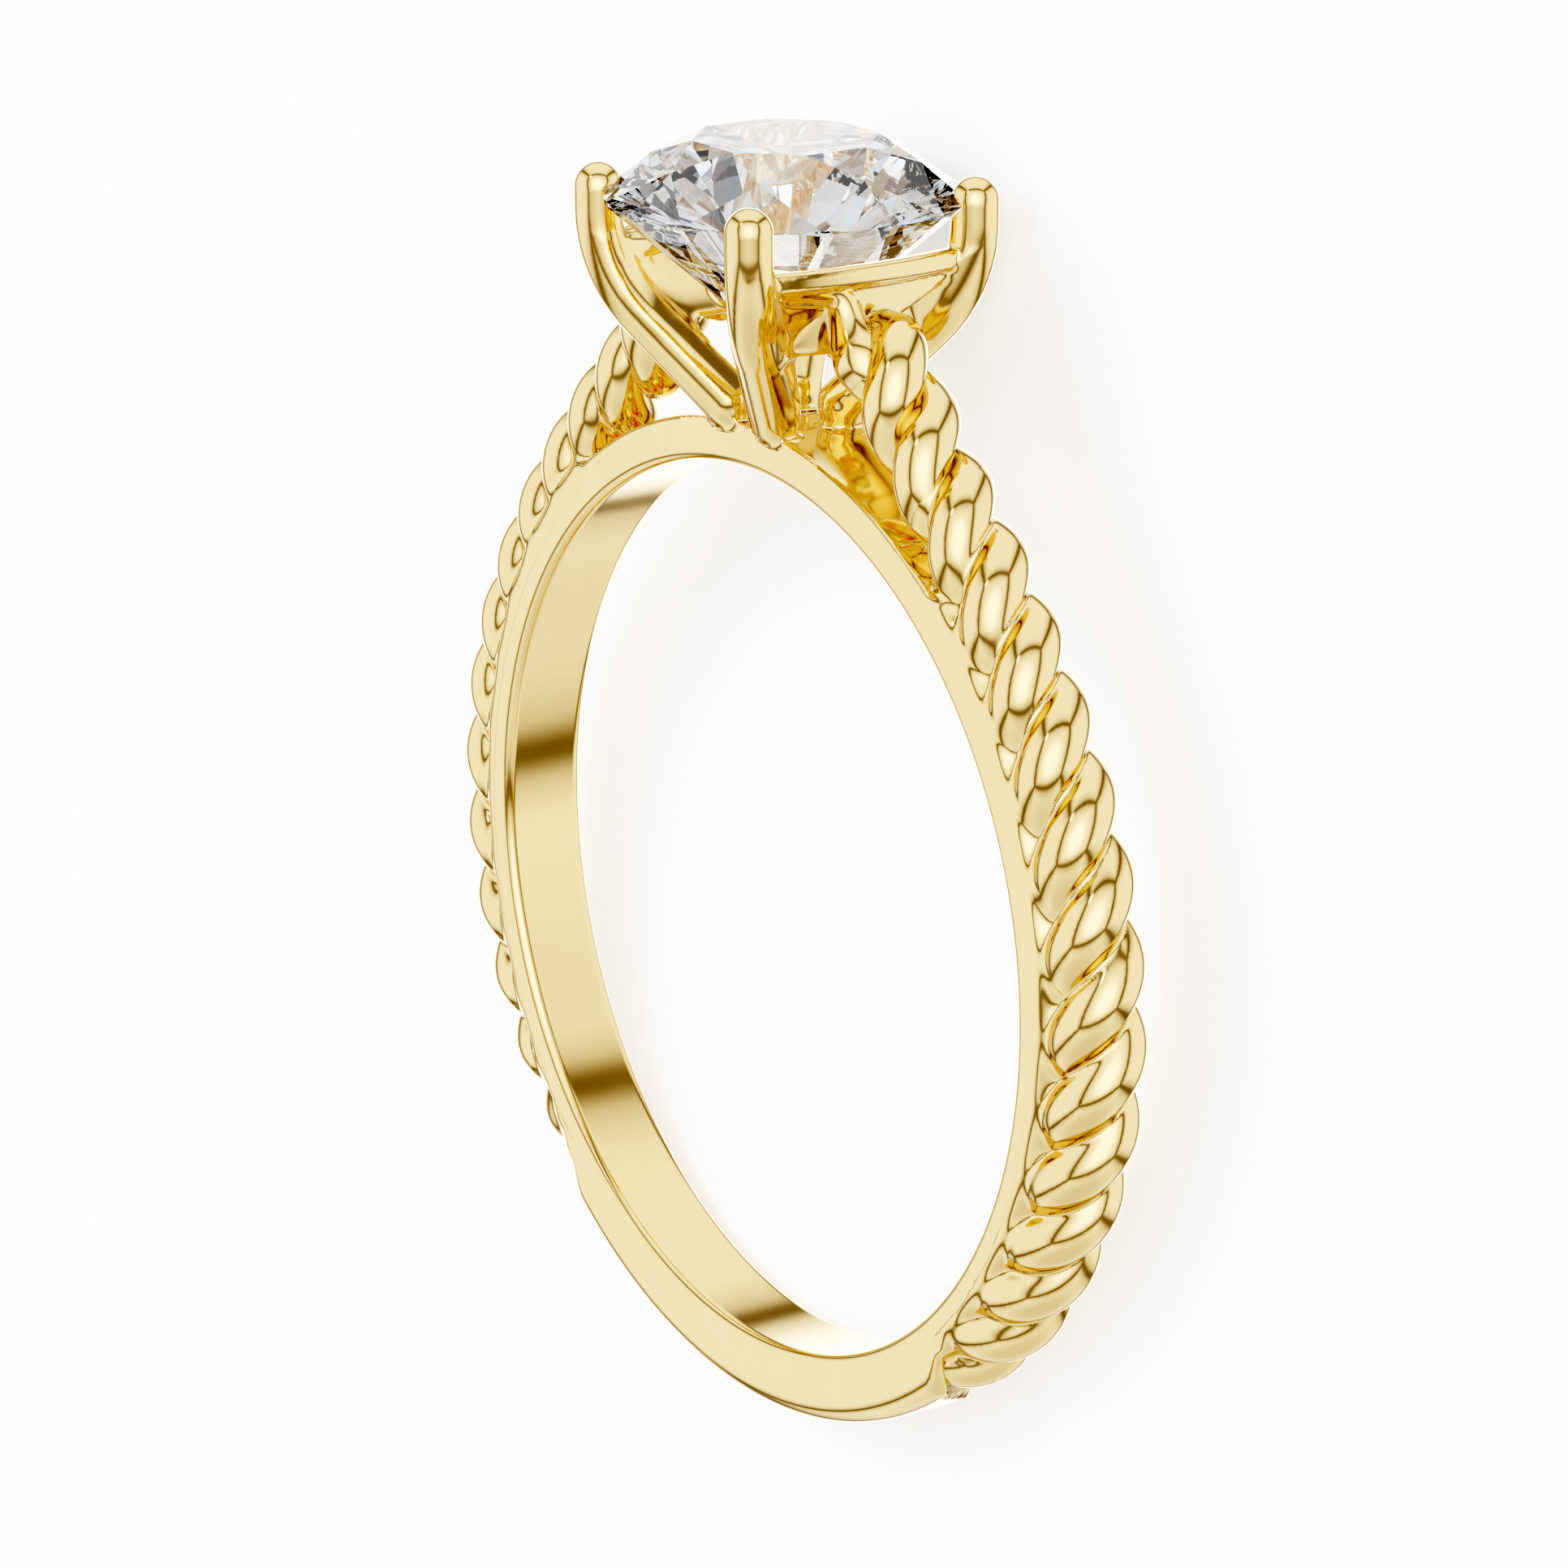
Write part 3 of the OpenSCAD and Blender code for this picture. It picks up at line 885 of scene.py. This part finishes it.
class Sums:
    """Short calls for the math nodes of one node tree."""

    def __init__(self, tree):
        self.tree = tree

    def _fill(self, socket, value):
        if isinstance(value, (int, float)):
            socket.default_value = value
        else:
            self.tree.links.new(value, socket)

    def math(self, operation, *values):
        node = self.tree.nodes.new("ShaderNodeMath")
        node.operation = operation
        for socket, value in zip(node.inputs, values):
            self._fill(socket, value)
        return node.outputs["Value"]

    def dot(self, vector, constant):
        node = self.tree.nodes.new("ShaderNodeVectorMath")
        node.operation = "DOT_PRODUCT"
        self.tree.links.new(vector, node.inputs[0])
        node.inputs[1].default_value = constant
        return node.outputs["Value"]

    def clipped(self, value, low, high):
        return self.math("MINIMUM", self.math("MAXIMUM", value, low), high)

    def between(self, value, low, high, at_low, at_high):
        """A smooth step from one value to another."""
        node = self.tree.nodes.new("ShaderNodeMapRange")
        node.interpolation_type = "SMOOTHSTEP"
        for socket, number in zip(node.inputs, (value, low, high, at_low, at_high)):
            self._fill(socket, number)
        return node.outputs["Result"]


# The light tent: half width, height above and depth below the ring, distance in front and behind
TENT_SIDE = 1.19
TENT_TOP = 1.17
TENT_BOTTOM = 0.75
TENT_FRONT = 1.0
TENT_BACK = 1.19
# Light of its panels, what the middle of the front and of the back adds, what the ground takes away, and the
# lamp's own. Each comes in between two values of the direction's part to the front, back or bottom, or to it
PANEL_LIGHT = 0.86
FRONT_GLOW = 0.5
FRONT_SPREAD = (0.82, 1.0)
BACK_GLOW = 0.6
BACK_SPREAD = (0.72, 0.95)
GROUND_SHADE = -0.28
GROUND_SPREAD = (-1.0, -0.55)
SPOT_GLOW = 0.9
SPOT_SPREAD = (math.cos(math.radians(6)), math.cos(math.radians(3)))
# The seams between its panels, each a soft one with a sharp one in it: nearness where it starts and where it
# is darkest, and the light left there
SEAMS = [(0.50, 0.95, 0.55), (0.80, 0.97, 0.38)]
# Light that has met the metal more than once is dimmed. It keeps this many tints of gold, and the next ones
# are taken back, up to a number
GROOVE_LIGHT = 0.74
GROOVE_TINTS = 2.0
MOST_TAKEN_BACK = 2.0
GOLD = (0.96, 0.717, 0.407)
# Through the stone the tent is dimmer, with more contrast, and its seams part into colours
STONE_TINT = (0.70, 0.75, 0.81)
STONE_CONTRAST = 0.7
SPECTRUM = (0.01, 0.05, 0.09)
# Reflections behind the stone's surface: tints of gold that are taken back from them, and their light
STONE_GOLD_TINTS = 0.9
STONE_GOLD_LIGHT = 0.72


def spot_axis():
    """Direction of the small bright lamp in the front panel's upper left corner."""
    aside, above = math.radians(-42), math.radians(37)
    right, up, back = camera_axes()
    return math.cos(above) * (math.sin(aside) * right + math.cos(aside) * back) + math.sin(above) * up


def tent_panels(sums, direction):
    """The tent in one direction: light of the panel, nearness of a seam (1 on it), and light of the lamp."""
    x, y, z = (sums.dot(direction, TO_ROW.to_3x3() @ axis) for axis in camera_axes())
    side = sums.math("DIVIDE", sums.math("ABSOLUTE", x), TENT_SIDE)
    level = sums.math("MAXIMUM", sums.math("DIVIDE", y, TENT_TOP), sums.math("DIVIDE", y, -TENT_BOTTOM))
    depth = sums.math("MAXIMUM", sums.math("DIVIDE", z, TENT_FRONT), sums.math("DIVIDE", z, -TENT_BACK))
    first = sums.math("MAXIMUM", sums.math("MAXIMUM", side, level), depth)
    last = sums.math("MINIMUM", sums.math("MINIMUM", side, level), depth)
    total = sums.math("ADD", sums.math("ADD", side, level), depth)
    second = sums.math("SUBTRACT", sums.math("SUBTRACT", total, first), last)
    nearness = sums.math("DIVIDE", second, first)
    front = sums.between(z, *FRONT_SPREAD, 0.0, FRONT_GLOW)
    back = sums.between(sums.math("MULTIPLY", z, -1), *BACK_SPREAD, 0.0, BACK_GLOW)
    ground = sums.between(y, *GROUND_SPREAD, GROUND_SHADE, 0.0)
    spot = sums.between(sums.dot(direction, TO_ROW.to_3x3() @ spot_axis()), *SPOT_SPREAD, 0.0, SPOT_GLOW)
    light = sums.math("ADD", sums.math("ADD", sums.math("ADD", PANEL_LIGHT, front), back), ground)
    return light, nearness, spot


def ray_rules(tree, sums):
    """What a ray met before the tent: 1 if it came through the stone, 1 if it was also mirrored last, how
    much the grooves dim it, and how many tints of gold are taken back."""
    route = tree.nodes.new("ShaderNodeLightPath")
    through_stone = sums.math("MINIMUM", route.outputs["Transmission Depth"], 1.0)
    on_metal = sums.math("MULTIPLY", route.outputs["Glossy Depth"], sums.math("SUBTRACT", 1.0, through_stone))
    dimmed = sums.math("POWER", GROOVE_LIGHT, sums.clipped(sums.math("SUBTRACT", on_metal, 1.0), 0.0, 1.0))
    in_stone = sums.math("MULTIPLY", through_stone, route.outputs["Is Reflection Ray"])
    taken_back = sums.clipped(sums.math("SUBTRACT", on_metal, GROOVE_TINTS), 0.0, MOST_TAKEN_BACK)
    taken_back = sums.math("ADD", taken_back, sums.math("MULTIPLY", in_stone, STONE_GOLD_TINTS))
    return through_stone, in_stone, dimmed, taken_back


def tent_light(tree):
    """Colour of a light tent round the ring: bright panels with dark seams, brightest in front."""
    sums = Sums(tree)
    direction = tree.nodes.new("ShaderNodeTexCoord").outputs["Generated"]
    light, nearness, spot = tent_panels(sums, direction)
    through_stone, in_stone, dimmed, taken_back = ray_rules(tree, sums)
    only_stone = sums.math("SUBTRACT", through_stone, in_stone)
    contrast = sums.math("ADD", 1.0, sums.math("MULTIPLY", only_stone, STONE_CONTRAST))
    mirrored_share = sums.math("MULTIPLY", in_stone, STONE_GOLD_LIGHT - 1.0)
    colour = tree.nodes.new("ShaderNodeCombineColor")
    for socket, shift, gold_tint, stone_tint in zip(colour.inputs, SPECTRUM, GOLD, STONE_TINT):
        moved = sums.math("ADD", nearness, sums.math("MULTIPLY", through_stone, shift))
        soft, sharp = (sums.between(moved, start, end, 1.0, left) for start, end, left in SEAMS)
        panel = sums.math("MULTIPLY", light, sums.math("MULTIPLY", soft, sharp))
        panel = sums.math("POWER", sums.math("ADD", panel, spot), contrast)
        share = sums.math("ADD", 1.0, sums.math("MULTIPLY", only_stone, stone_tint - 1.0))
        share = sums.math("ADD", share, mirrored_share)
        untint = sums.math("POWER", gold_tint, sums.math("MULTIPLY", taken_back, -1.0))
        panel = sums.math("MULTIPLY", panel, share)
        panel = sums.math("MULTIPLY", panel, sums.math("MULTIPLY", untint, dimmed))
        tree.links.new(panel, socket)
    return colour.outputs["Color"]


def studio():
    """The light tent that metal and stone mirror, and the white that the camera sees beyond the floor."""
    scene = bpy.context.scene
    world = bpy.data.worlds.new("studio")
    scene.world = world
    world.use_nodes = True
    world.cycles.sampling_method = "NONE"
    tree = world.node_tree
    tent = tree.nodes["Background"]
    tree.links.new(tent_light(tree), tent.inputs["Color"])
    # As white as the floor
    white = tree.nodes.new("ShaderNodeBackground")
    white.inputs["Strength"].default_value = 1.4
    seen = tree.nodes.new("ShaderNodeMixShader")
    tree.links.new(tree.nodes.new("ShaderNodeLightPath").outputs["Is Camera Ray"], seen.inputs["Fac"])
    tree.links.new(tent.outputs["Background"], seen.inputs[1])
    tree.links.new(white.outputs["Background"], seen.inputs[2])
    tree.links.new(seen.outputs["Shader"], tree.nodes["World Output"].inputs["Surface"])
    scene.cycles.max_bounces = 24
    scene.cycles.transmission_bounces = 24
    scene.cycles.glossy_bounces = 12


def lamp():
    """A soft box high on the left that lights the floor alone: metal and stone mirror the tent instead."""
    data = bpy.data.lights.new("soft_box", "AREA")
    data.shape = "DISK"
    data.size = 0.12
    data.energy = 0.12
    obj = bpy.data.objects.new("soft_box", data)
    bpy.context.scene.collection.objects.link(obj)
    obj.location = (-0.09, 0.07, 0.16)
    obj.rotation_mode = "QUATERNION"
    obj.rotation_quaternion = (-obj.location).to_track_quat("-Z", "Y")
    obj.visible_glossy = False
    obj.visible_transmission = False


# How bright scene light is shown. Columns: light of the scene, light of the picture
TONES = [
    (0.0, 0.0),
    (0.09, 0.002),
    (0.13, 0.05),
    (0.174, 0.136),
    (0.233, 0.258),
    (0.312, 0.407),
    (0.417, 0.565),
    (0.558, 0.716),
    (0.747, 0.839),
    (1.0, 0.948),
    (1.35, 1.0),
]


def tone_curve():
    view = bpy.context.scene.view_settings
    view.view_transform = "Standard"
    view.use_curve_mapping = True
    mapping = view.curve_mapping
    mapping.clip_max_x = TONES[-1][0]
    mapping.use_clip = True
    curve = mapping.curves[3]
    curve.points[0].location = TONES[0]
    curve.points[1].location = TONES[-1]
    for x, y in TONES[1:-1]:
        curve.points.new(x, y)
    mapping.update()


def ring():
    metal = gold()
    band(metal)
    for side, word in SIDES:
        for number in (0, 1):
            strand(f"twist_strand_{word}_{number + 1}", number, side, metal)
    shoulder(metal)
    basket(metal)


def stone():
    node = frame["nodes"]["stone"]
    node.data.materials.clear()
    node.data.materials.append(diamond())


ring()
stone()
floor()
camera()
studio()
lamp()
tone_curve()
